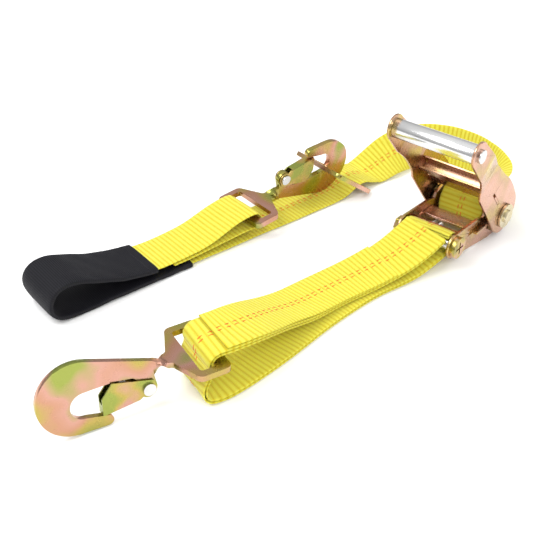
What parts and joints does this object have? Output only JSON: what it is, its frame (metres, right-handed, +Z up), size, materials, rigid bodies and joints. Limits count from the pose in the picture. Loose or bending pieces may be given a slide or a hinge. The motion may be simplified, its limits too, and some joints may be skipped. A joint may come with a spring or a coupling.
{
  "type": "ratchet tie down",
  "caption": "Wide-handle webbing ratchet with a twisted flat snap hook at each end, a black wear sleeve at the fold and a slider ring.",
  "frame": {"origin": "On the ground under the middle of the whole box.", "axes": "+X from the webbing bolt towards the mandrel, along the longest extent; +Z up."},
  "size_m": [0.6023, 0.3013, 0.146],
  "materials": {
    "zinc_yellow": "yellow chromated zinc with a faint pink and green tint",
    "bright_zinc": "bright zinc, lightly worn",
    "spring_steel": "bare spring wire",
    "yellow_webbing": "ribbed woven polyester with red tracer threads",
    "black_sleeve": "black woven nylon"
  },
  "bodies": {
    "frame": {"frame_side_right": "zinc_yellow", "frame_side_left": "zinc_yellow", "frame_crossbar": "zinc_yellow", "webbing_bolt": "bright_zinc", "webbing_bolt_nut": "bright_zinc", "webbing_bolt_spacer": "zinc_yellow", "lock_pawl_spring": "spring_steel", "fixed_webbing_upper": "yellow_webbing", "fixed_webbing_hook_loop": "yellow_webbing", "fixed_webbing_lower": "yellow_webbing", "fixed_webbing_bolt_loop": "yellow_webbing", "main_webbing_lap": "yellow_webbing", "main_webbing_hook_loop": "yellow_webbing", "main_webbing_upper": "yellow_webbing", "main_webbing_fold": "yellow_webbing", "main_webbing_lower": "yellow_webbing", "main_webbing_loop": "yellow_webbing", "wear_sleeve": "black_sleeve"},
    "mandrel": {"mandrel_half_upper": "zinc_yellow", "mandrel_half_lower": "zinc_yellow", "ratchet_wheel_right": "zinc_yellow", "ratchet_wheel_left": "zinc_yellow", "mandrel_cap_right": "bright_zinc", "mandrel_cap_left": "zinc_yellow", "webbing_roll": "yellow_webbing", "mandrel_webbing_core": "yellow_webbing"},
    "handle": {"handle_side_right": "zinc_yellow", "handle_side_left": "zinc_yellow", "handle_grip": "bright_zinc", "grip_rod": "bright_zinc", "handle_crossrod": "zinc_yellow", "drive_pawl_spring": "spring_steel"},
    "drive_pawl": {"drive_pawl": "zinc_yellow"},
    "lock_pawl": {"lock_pawl": "zinc_yellow"},
    "front_hook": {"front_hook": "zinc_yellow", "front_keeper_rivet": "bright_zinc", "front_keeper_spring": "spring_steel"},
    "front_keeper": {"front_keeper": "zinc_yellow"},
    "rear_hook": {"rear_hook": "zinc_yellow", "rear_keeper_rivet": "bright_zinc", "rear_keeper_spring": "spring_steel"},
    "rear_keeper": {"rear_keeper": "zinc_yellow"},
    "slider_ring": {"slider_ring": "zinc_yellow"}
  },
  "joints": [
    {"name": "handle_pivot", "type": "hinge", "parent": "frame", "child": "handle", "pos_m": [0.2001, -0.1018, 0.025], "axis": [0, 1, 0], "range_deg": [-31, 108], "deforming": ["main_webbing_loop"]},
    {"name": "mandrel_spin", "type": "hinge", "parent": "frame", "child": "mandrel", "pos_m": [0.2001, -0.1018, 0.025], "axis": [0, 1, 0], "continuous": true},
    {"name": "drive_pawl_slide", "type": "slide", "parent": "handle", "child": "drive_pawl", "axis": [-0.6428, 0, 0.766], "range_m": [0, 0.006], "stiffness_N_per_m": 400, "springref_m": -0.008},
    {"name": "lock_pawl_slide", "type": "slide", "parent": "frame", "child": "lock_pawl", "axis": [-1, 0, 0], "range_m": [0, 0.005], "stiffness_N_per_m": 400, "springref_m": -0.006},
    {"name": "front_hook_swing", "type": "hinge", "parent": "frame", "child": "front_hook", "pos_m": [-0.1619, -0.0608, 0.038], "axis": [0.342, 0.9397, 0], "range_deg": [0, 70]},
    {"name": "front_keeper_hinge", "type": "hinge", "parent": "front_hook", "child": "front_keeper", "pos_m": [-0.2158, -0.0437, 0.02116], "axis": [0.3387, 0.9305, -0.1392], "range_deg": [0, 20], "stiffness_Nm_per_rad": 0.2, "springref_deg": -28.65},
    {"name": "rear_hook_swing", "type": "hinge", "parent": "frame", "child": "rear_hook", "pos_m": [0.0351, 0.0762, 0.021], "axis": [-0.1979, -0.9802, 0], "range_deg": [0, 3]},
    {"name": "rear_keeper_hinge", "type": "hinge", "parent": "rear_hook", "child": "rear_keeper", "pos_m": [0.08806, 0.06309, 0.04346], "axis": [0.1822, 0.9735, 0.1385], "range_deg": [0, 20], "stiffness_Nm_per_rad": 0.2, "springref_deg": -28.65},
    {"name": "slider_ring_tilt", "type": "hinge", "parent": "frame", "child": "slider_ring", "pos_m": [0.18587, 0.04576, 0.00518], "axis": [0.1979, 0.9802, 0], "range_deg": [0, 6.84]}
  ],
  "couplings": [
    {"joint": "slider_ring_tilt", "follows": "rear_hook_swing", "ratio": 2.28}
  ]
}
